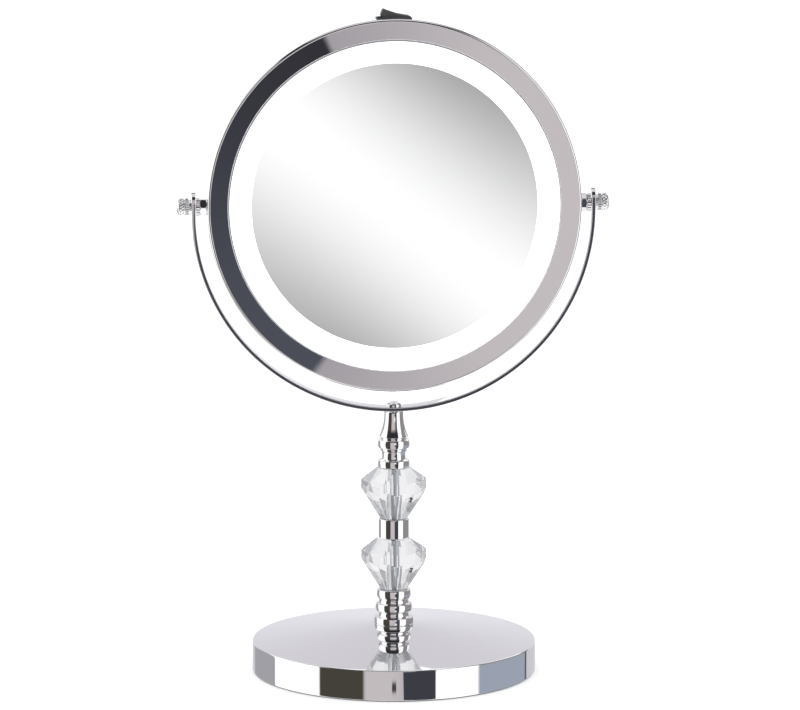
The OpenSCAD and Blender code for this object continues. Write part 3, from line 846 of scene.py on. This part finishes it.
def yoke_mesh():
    """Point = centre line + outward (R + n) + y across, for n, y round the section."""
    soft = 0.45
    section = rounded([(-band_half_t, -band_half_w, soft), (band_half_t, -band_half_w, soft),
                       (band_half_t, band_half_w, soft), (-band_half_t, band_half_w, soft)],
                      steps=9) / MM
    inset = band_half_w - np.abs(section[:, 1])
    end = np.linspace(0.05, np.pi / 2, 12)
    straight = np.linspace(arm_rise - band_half_w, 0, 8)[1:]
    heights = np.concatenate([arm_rise - band_half_w * (1 - np.cos(end)), straight])
    widths = np.concatenate([band_half_w * np.sin(end), band_half_w + 0 * straight])
    bend = np.linspace(0, -np.pi, 181)[1:-1]
    angle = np.concatenate([0 * heights, bend, -np.pi + 0 * heights])
    rise = np.concatenate([heights, 0 * bend, heights[::-1]])
    half = np.concatenate([widths, band_half_w + 0 * bend, widths[::-1]])
    out = yoke_outer - band_half_t + section[:, 0]
    x = np.cos(angle)[:, None] * out
    z = np.sin(angle)[:, None] * out + rise[:, None] + yoke_centre_z
    y = np.sign(section[:, 1]) * np.maximum(half[:, None] - inset, 0)
    points = np.stack([x, y, z], axis=-1) * MM
    rows, columns = points.shape[:2]
    faces = grid_faces(rows, columns, close_rows=False).tolist()
    faces += [list(range(columns)), list(range((rows - 1) * columns, rows * columns))]
    return solid("bent_band", points.reshape(-1, 3), faces)


piece(yoke_mesh(), "stand", "yoke", plate)

# %% [markdown]
# ## Yoke screw
# One domed machine screw holds the yoke down on the ferrule. The head is a flattened dome
# and the cross recess is a smooth hollow along two lines, which is simply a lower height
# near either line. A polar grid carries both in one formula.

# %% Yoke screw
head_z = high("yoke_screw")[2]
screw_head_r = high("yoke_screw")[0]
screw_rows = np.vstack([
    [[0, low("yoke_screw")[2], 0], [2.4, low("yoke_screw")[2], 0.3], [2.4, head_z - 2.2, 0],
     [screw_head_r - 0.1, head_z - 2.2, 0.1]],
    curve(lambda t: screw_head_r * (0.55 + 0.45 * np.cos(np.pi / 2 * t)),
          lambda t: head_z - 1.6 + 1.6 * np.sin(np.pi / 2 * t), 12),
    curve(lambda t: 0.55 * screw_head_r * (1 - t), lambda t: head_z, 16)[1:],
])


recess_depth, recess_arm, recess_half_w = 1.1, 2.3, 0.4


def cross_recess(x, y, z):
    """The top is lower by the depth times a soft step across each arm and out along it."""
    near, far = np.minimum(abs(x), abs(y)) / MM, np.maximum(abs(x), abs(y)) / MM
    across = np.clip((recess_half_w - near) / 0.25 + 0.5, 0, 1)
    along = np.clip((recess_arm - far) / 0.6 + 0.5, 0, 1)
    on_top = z > (head_z - 0.5) * MM
    lowered = on_top * across * along * recess_depth * MM
    return -lowered


screw_mesh = turned("domed_screw", screw_rows, columns=128)
raise_points(screw_mesh, cross_recess)
nickel = chrome("screw_nickel", grain=0.004, ripple=4e-6)
piece(screw_mesh, "stand", "yoke_screw", nickel)

# %% [markdown]
# ## Bezels
# Two pressed rings close the drum. The front one is dished towards the light, and that
# slope of nine degrees is why its left half mirrors the dark card and its right half the
# pale wall. The rear one stays flat round a concave glass.

# %% Bezels
window_r = 89.0
band_in = head_r - 1.2
plug_r = band_in - 0.1
inner_r = 97.3
edge_round = 1.5
front_rows = np.vstack([
    [[head_r, face - 1.95, 0.05]],
    curve(lambda t: head_r - edge_round + edge_round * np.cos(np.pi / 2 * t),
          lambda t: face - edge_round + edge_round * np.sin(np.pi / 2 * t), 16),
    [[window_r, face - 1.5, 0.25], [window_r, face - 2.4, 0.1], [inner_r, face - 1.2, 0.3],
     [inner_r, face - 3.6, 0.1], [plug_r, face - 3.6, 0.1], [plug_r, face - 1.95, 0.05]]])
piece(turned("front_ring", front_rows, FORWARD, ON_PIVOT, columns=360, steps=10),
      "head", "front_bezel", plate)

back = -high("rear_bezel")[1]
rear_window_r = 79.5
glass_rim_in, glass_rim_out = 81.1, 82.2
rear_rows = [
    [rear_window_r, back + 0.4, 0.3], [head_r - edge_round, back, 0.4], [head_r, back, 2.0],
    [head_r, back + 3.95, 0.05], [plug_r, back + 3.95, 0.05], [plug_r, -4.8, 0.1],
    [inner_r, -4.8, 0.1], [inner_r, back + 1.2, 0.3], [glass_rim_out, back + 1.4, 0.2],
    [glass_rim_out, -5, 0.1], [glass_rim_in, -5, 0.1], [glass_rim_in, back + 1.4, 0.1],
    [rear_window_r, back + 1.4, 0.1]]
piece(turned("rear_ring", rear_rows, FORWARD, ON_PIVOT, columns=360, steps=8),
      "rear_cover", "rear_bezel", plate)

# %% [markdown]
# ## Mirrors
# The front glass is flat with a ground edge. The rear glass is a shallow bowl that
# magnifies: its depth is the square of the radius over twice the radius of its curve.


# %% Mirrors
def silver_looks(recipe):
    dust = recipe.noise(0.012, detail=4)
    return {"Base Color": recipe.mix(dust, (0.90, 0.905, 0.905, 1), (0.91, 0.91, 0.91, 1)),
            "Roughness": 0.004 * dust}


silver = finish("silvered_glass", silver_looks, Metallic=1.0)
mirror_r = high("front_mirror")[0]
mirror_front, mirror_back = -low("front_mirror")[1], -high("front_mirror")[1]
glass_rows = [[0, mirror_back, 0], [mirror_r, mirror_back, 0.15],
              [mirror_r, mirror_front - 0.12, 0.05], [mirror_r - 0.12, mirror_front, 0.05],
              [0, mirror_front, 0]]
piece(turned("flat_glass", glass_rows, FORWARD, ON_PIVOT, columns=320),
      "head", "front_mirror", silver)

rear_mirror_r = high("rear_mirror")[0]
rear_edge = -high("rear_mirror")[1]
rear_curve, rear_glass_t = 900.0, 2.0


def bowl(r, thickness=0.0):
    """Distance forward of the rear glass at a radius."""
    return rear_edge + (rear_mirror_r ** 2 - r ** 2) / (2 * rear_curve) + thickness


bowl_rows = np.vstack([
    curve(lambda t: rear_mirror_r * t, lambda t: bowl(rear_mirror_r * t), 40),
    curve(lambda t: rear_mirror_r * (1 - t),
          lambda t: bowl(rear_mirror_r * (1 - t), rear_glass_t), 40)])
piece(turned("bowl_glass", bowl_rows, FORWARD, ON_PIVOT, columns=256),
      "rear_cover", "rear_mirror", silver)


# %% [markdown]
# ## Light ring
# The light ring is a milky acrylic washer, and the chips behind it leave the faintest
# ripple in its glow. Along its outer edge, where the bezel's lip meets it, a thin dark line
# of painted shade darkens both its glow and its colour. The line is a step of the distance
# from a point a little off the drum's centre, shifted as the lip is seen from the camera.

# %% Light ring
# Centre of the painted shade line, in millimetres off the drum's centre, shifted as the lip is seen
# from the camera.
lip_x, lip_z = 0.24, -0.44
chip_count = 48


def milky_looks(recipe):
    x, _, z = recipe.split(recipe.place())
    angle = recipe.math("ARCTAN2", z - pivot_z * MM, x)
    chips = 0.5 + 0.5 * recipe.math("COSINE", angle * chip_count + np.pi)
    cloud = recipe.noise(0.01, detail=2)
    glow = recipe.mix(chips * 0.6 + cloud * 0.4, (0.97, 0.98, 1.0, 1), (1.0, 1.0, 1.0, 1))
    # Painted shade: the glow and the colour turn dark in a thin line along the ring's outer edge,
    # where the bezel's lip meets it.
    radius = recipe.math("SQRT", (x - lip_x * MM) ** 2 + (z - (pivot_z + lip_z) * MM) ** 2)
    shade = recipe.smooth(radius, (window_r - 0.85) * MM, (window_r - 0.45) * MM)
    glow = recipe.mix(shade, glow, (0.14, 0.14, 0.15, 1))
    body = recipe.mix(shade, (0.95, 0.95, 0.95, 1), (0.10, 0.10, 0.11, 1))
    return {"Base Color": body, "Emission Color": glow, "Roughness": 0.3 + 0.1 * cloud}


milky = finish("milky_acrylic", milky_looks, Emission_Strength=1.05)
ring_r, ring_in = high("diffuser_ring")[0], mirror_r + 0.03
ring_front, ring_back = -low("diffuser_ring")[1], -high("diffuser_ring")[1]
ring_rows = [[ring_r, ring_back, 0.1], [ring_r, ring_front, 0.15],
             [ring_in, ring_front, 0.05], [ring_in, ring_back, 0.05]]
piece(turned("light_ring", ring_rows, FORWARD, ON_PIVOT, columns=320),
      "head", "diffuser_ring", milky)

# %% [markdown]
# ## Pivot hardware
# On each side a stud comes out of the drum through a six-sided spacer, a milled washer,
# the yoke's arm and a plain washer, and a knurled thumb knob clamps them. They are turned
# shapes, and on most of them the radius changes with the angle. A nut is a hexagon whose
# corners are turned off, so its radius is the smaller of a hexagon and a cone. Milling and
# knurling are small waves of the radius.


# %% Hexagon, milling and knurling
def hexagon(corner_r, start):
    """Turns a round outline into a nut: the smaller of the outline and the hexagon."""
    def wobble(r, z, a):
        share = (a - start + np.pi / 6) % (np.pi / 3) - np.pi / 6
        flat = corner_r * MM * np.cos(np.pi / 6) / np.cos(share)
        return np.minimum(r, flat)
    return wobble


def milling(count, depth, above_r, span_low, span_high):
    """Rounded teeth that deepen the radius by a cosine, over one stretch of the axis."""
    def wobble(r, z, a):
        inside = (z > span_low * MM) & (z < span_high * MM) & (r > above_r * MM)
        return r - inside * depth * MM * (0.5 - 0.5 * np.cos(count * a))
    return wobble


def diamonds(count, lead, depth, above_r, span_low, span_high):
    """Two crossing helical cuts: the deeper of cosines of count a plus and minus lead z."""
    def wobble(r, z, a):
        inside = (z > span_low * MM) & (z < span_high * MM) & (r > above_r * MM)
        wave = np.maximum(np.cos(count * a + z / (lead * MM)), np.cos(count * a - z / (lead * MM)))
        return r - inside * depth * MM * np.clip(wave, 0, 1)
    return wobble


def both(first, second):
    """One wobble after another."""
    return lambda r, z, a: second(first(r, z, a), z, a)


def steps_along(r, z0, z1, count, rounding=0.0):
    """A straight stretch with enough points for a pattern."""
    return curve(lambda t: r, lambda t: z0 + (z1 - z0) * t, count, rounding)


print("a straight stretch of ten steps has", len(steps_along(5, 0, 1, 10)), "points")

# %% [markdown]
# ## Spacers, washers and knobs
# Both sides are the same hardware. Each outline is written once along the right pivot, and
# the left one is the same outline turned the other way. Only the two hexagons stand at
# different angles, as spacers that were tightened by hand do.

# %% Spacers, washers and knobs
stud_hole = 2.06
spacer_r = 4.95
spacer_end = high("hex_spacer_right")[0]
washer_end = high("milled_washer_right")[0]
outer_low, outer_high = low("outer_washer_right")[0], high("outer_washer_right")[0]
knob_low, knob_high = low("knob_right")[0], high("knob_right")[0]
spacer_rows = [[stud_hole, head_r, 0.1], [4.2, head_r, 0.15], [4.9, head_r + 0.8, 0.3],
               [4.9, spacer_end - 0.8, 0.3], [4.2, spacer_end, 0.15],
               [stud_hole, spacer_end, 0.1]]
milled_rows = np.vstack([
    [[stud_hole, spacer_end, 0]],
    steps_along(spacer_r, spacer_end + 0.02, washer_end - 0.02, 10, 0.25),
    [[stud_hole, washer_end, 0]]])
plain_rows = [[stud_hole, outer_low, 0.05], [4.3, outer_low, 0.25], [4.3, outer_high, 0.25],
              [stud_hole, outer_high, 0.05]]
knob_rows = np.vstack([
    [[0, knob_high - 1.5, 0], [stud_hole, knob_high - 1.5, 0], [stud_hole, knob_low, 0.1],
     [4.2, knob_low, 0.2], [4.2, knob_low + 0.35, 0.1]],
    steps_along(4.8, knob_low + 0.6, knob_low + 2.1, 8, 0.25),
    [[4.25, knob_low + 2.35, 0.1], [4.25, knob_low + 2.75, 0.1]],
    steps_along(4.65, knob_low + 3.0, knob_high - 1.7, 24, 0.2),
    curve(lambda t: 4.3 * np.cos(np.pi / 2 * t),
          lambda t: knob_high - 1.45 + 1.45 * np.sin(np.pi / 2 * t), 14)])
knob_wobble = both(milling(24, 0.45, 4.3, knob_low + 0.5, knob_low + 2.2),
                   diamonds(15, 0.42, 0.3, 4.4, knob_low + 2.9, knob_high - 1.6))
for side, turn, hex_start in (("left", LEFT, 0), ("right", RIGHT, np.pi / 6)):
    for name, rows, body, stands_for, wobble, columns in (
            ("nut_spacer_", spacer_rows, "head", "hex_spacer_", hexagon(spacer_r, hex_start), 180),
            ("toothed_washer_", milled_rows, "head", "milled_washer_",
             milling(20, 0.3, 4.5, spacer_end + 0.05, washer_end - 0.05), 240),
            ("plain_washer_", plain_rows, "head", "outer_washer_", None, 128),
            ("knurled_knob_", knob_rows, side + "_knob", "knob_", knob_wobble, 240)):
        piece(turned(name + side, rows, turn, ON_PIVOT, columns, wobble),
              body, stands_for + side, plate)

# %% [markdown]
# ## Switch
# A rocker switch sits on top of the drum. The rocker is a moulded wedge with two raised
# ends, drawn from the side and given its width, with a small bevel for the mould's edge.
# Its plastic is spark-eroded, so it has a fine matt grain rather than a polish.


# %% Switch
def moulded_looks(recipe):
    sparks = recipe.noise(0.0004, detail=2)
    wear = recipe.noise(0.006, detail=3)
    return {"Base Color": recipe.mix(wear, (0.030, 0.029, 0.030, 1), (0.050, 0.049, 0.050, 1)),
            "Roughness": 0.34 + 0.18 * sparks, "Normal": recipe.bump(sparks, 1.5e-5)}


switch_plastic = finish("switch_plastic", moulded_looks)
rocker_tilt = np.radians(-15)
rocker_half = 7.2
rocker_z = frame["joints"][[j["name"] for j in frame["joints"]].index("switch_press")]["pos_m"][2]


def prism(name, outline, y_low, y_high):
    """A closed outline in X and Z, given a width along Y, with flat ends."""
    count = len(outline)
    rows = [np.column_stack([outline[:, 0], np.full(count, y), outline[:, 1]])
            for y in (y_low, y_high)]
    faces = grid_faces(2, count, close_rows=False).tolist()
    return solid(name, np.vstack(rows), faces + [list(range(count)), list(range(count, 2 * count))])


def rocker_mesh():
    """Saddle top and round belly, turned about the pin by the angle at rest."""
    h = rocker_half
    saddle = curve(lambda t: 0.75 * h * (2 * t - 1), lambda t: 4.5 + 0.35 * np.abs(2 * t - 1), 6)
    belly = curve(lambda t: 2.6 * np.cos(np.pi * t), lambda t: -2.6 * np.sin(np.pi * t), 12)
    rows = np.vstack([[[-h - 0.7, 1.2, 0.2], [-h - 0.5, 4.0, 0.4], [-h, 5.2, 0.5]], saddle,
                      [[h, 5.2, 0.5], [h + 0.5, 4.0, 0.4], [h + 0.7, 1.2, 0.2]], belly])
    outline = rounded(rows, steps=4)
    c, s = np.cos(rocker_tilt), np.sin(rocker_tilt)
    outline = outline @ np.array([[c, s], [-s, c]]) + [0, rocker_z]
    return prism("rocker_key", outline, low("switch_rocker")[1] * MM, high("switch_rocker")[1] * MM)


rocker = piece(rocker_mesh(), "rocker", "switch_rocker", switch_plastic)
mould_edge = rocker.modifiers.new("mould_edge", "BEVEL")
mould_edge.width, mould_edge.segments, mould_edge.angle_limit = 0.3 * MM, 3, np.radians(50)

# %% [markdown]
# ## Finishes for the parts inside
# The pieces inside the drum and under the base keep the shape that the design gives them.
# They still get a real finish: spangled zinc, cast iron, foam, moulded plastic, a printed
# board, and so on. Most of them share one form, so one helper makes a family of finishes
# from two colours, a grain, a roughness and a bump.


# %% Finishes for the parts inside
def two_tone(name, dark, light, grain, roughness, bump=1e-5, stretch=(1, 1, 1), **fixed):
    """A finish that wanders between two colours, with roughness and relief on one grain."""
    def looks(recipe):
        cloud = recipe.noise(grain * 6, detail=3, stretch=stretch)
        fine = recipe.noise(grain, detail=2, stretch=stretch)
        return {"Base Color": recipe.mix(cloud, dark, light),
                "Roughness": roughness + 0.2 * (fine - 0.5), "Normal": recipe.bump(fine, bump)}
    return finish(name, looks, **fixed)


inside = {
    "zinc": two_tone("zinc_plate", (0.52, 0.53, 0.54, 1), (0.72, 0.72, 0.70, 1),
                     0.0008, 0.32, Metallic=1.0),
    "cast_iron": two_tone("cast_iron", (0.05, 0.05, 0.052, 1), (0.12, 0.115, 0.11, 1),
                          0.0012, 0.7, 1e-4, Metallic=0.6),
    "foam": two_tone("felt_foam", (0.012, 0.012, 0.013, 1), (0.03, 0.03, 0.032, 1),
                     0.0006, 0.85, 1.5e-4),
    "gasket": two_tone("clear_gasket", (0.80, 0.81, 0.82, 1), (0.9, 0.9, 0.9, 1),
                       0.0008, 0.3, Transmission_Weight=0.6, IOR=1.45),
    "white": two_tone("white_styrene", (0.80, 0.80, 0.78, 1), (0.86, 0.86, 0.85, 1),
                      0.0007, 0.4, 1e-5),
    "board": two_tone("white_board", (0.74, 0.76, 0.72, 1), (0.82, 0.83, 0.80, 1),
                      0.0015, 0.42, 1.2e-5),
    "black": two_tone("black_styrene", (0.02, 0.02, 0.021, 1), (0.035, 0.035, 0.036, 1),
                      0.0006, 0.45, 1.2e-5),
    "ceramic": two_tone("black_ceramic", (0.012, 0.012, 0.014, 1), (0.03, 0.03, 0.03, 1),
                        0.0004, 0.5),
    "jacket": two_tone("cell_jacket", (0.30, 0.19, 0.07, 1), (0.42, 0.27, 0.11, 1),
                       0.002, 0.3, stretch=(1, 1, 0.3), Metallic=0.5),
    "spring": two_tone("spring_steel", (0.60, 0.57, 0.48, 1), (0.74, 0.71, 0.60, 1),
                       0.001, 0.3, Metallic=1.0),
    "brass": two_tone("brass", (0.62, 0.42, 0.16, 1), (0.78, 0.56, 0.26, 1),
                      0.001, 0.3, Metallic=1.0),
    "red_wire": two_tone("red_sleeve", (0.42, 0.015, 0.012, 1), (0.55, 0.03, 0.02, 1),
                         0.001, 0.38),
    "black_wire": two_tone("black_sleeve", (0.012, 0.012, 0.012, 1), (0.03, 0.03, 0.03, 1),
                           0.001, 0.38),
}
print(len(inside), "finishes for the parts inside")


# %% [markdown]
# ## Light chips
# A white light chip is a small box with a yellow phosphor window that glows. The glow comes
# from its front half only, so the window is a smooth step of the distance forward.

# %% Light chips
chip_front = low("led_chips")[1] * MM


def chip_looks(recipe):
    _, y, _ = recipe.split(recipe.place())
    window = 1 - recipe.smooth(y, chip_front, chip_front + 0.3 * MM)
    cloud = recipe.noise(0.0015)
    body = recipe.mix(cloud, (0.86, 0.84, 0.72, 1), (0.93, 0.86, 0.52, 1))
    glow = recipe.mix(window, (0, 0, 0, 1), (1.0, 0.93, 0.78, 1))
    return {"Base Color": body, "Emission Color": glow, "Roughness": 0.3 + 0.15 * cloud}


light_chip = finish("light_chip", chip_looks, Emission_Strength=1.5)
print(f"light chips shine from y = {chip_front:.4f} m")

# %% [markdown]
# ## Hand the finishes out
# A CAD node keeps its mesh, which is never moved or changed. Only its material slots are
# filled again, and one table says which finish goes to which node.

# %% Hand the finishes out
coats = {
    plate: ["drum_band"],
    rod_steel: ["pivot_stud_left", "pivot_stud_right", "switch_pin"],
    switch_plastic: ["switch_housing"],
    light_chip: ["led_chips"],
    inside["zinc"]: ["tie_nut", "tie_washer", "chassis_screws", "pivot_nuts"],
    inside["cast_iron"]: ["base_weight"],
    inside["foam"]: ["base_pad", "mirror_tape"],
    inside["gasket"]: ["crystal_gaskets"],
    inside["white"]: ["chassis", "rear_backing"],
    inside["board"]: ["led_board"],
    inside["black"]: ["battery_holder"],
    inside["ceramic"]: ["led_resistors"],
    inside["jacket"]: ["battery_cells"],
    inside["spring"]: ["battery_contacts", "rear_clips"],
    inside["brass"]: ["switch_terminals"],
    inside["red_wire"]: ["positive_lead"],
    inside["black_wire"]: ["negative_lead", "board_lead"],
}
for material, nodes in coats.items():
    for node in nodes:
        for slot in frame["nodes"][node].material_slots:
            slot.material = material
print(sum(len(nodes) for nodes in coats.values()), "CAD nodes have a finish of their own")
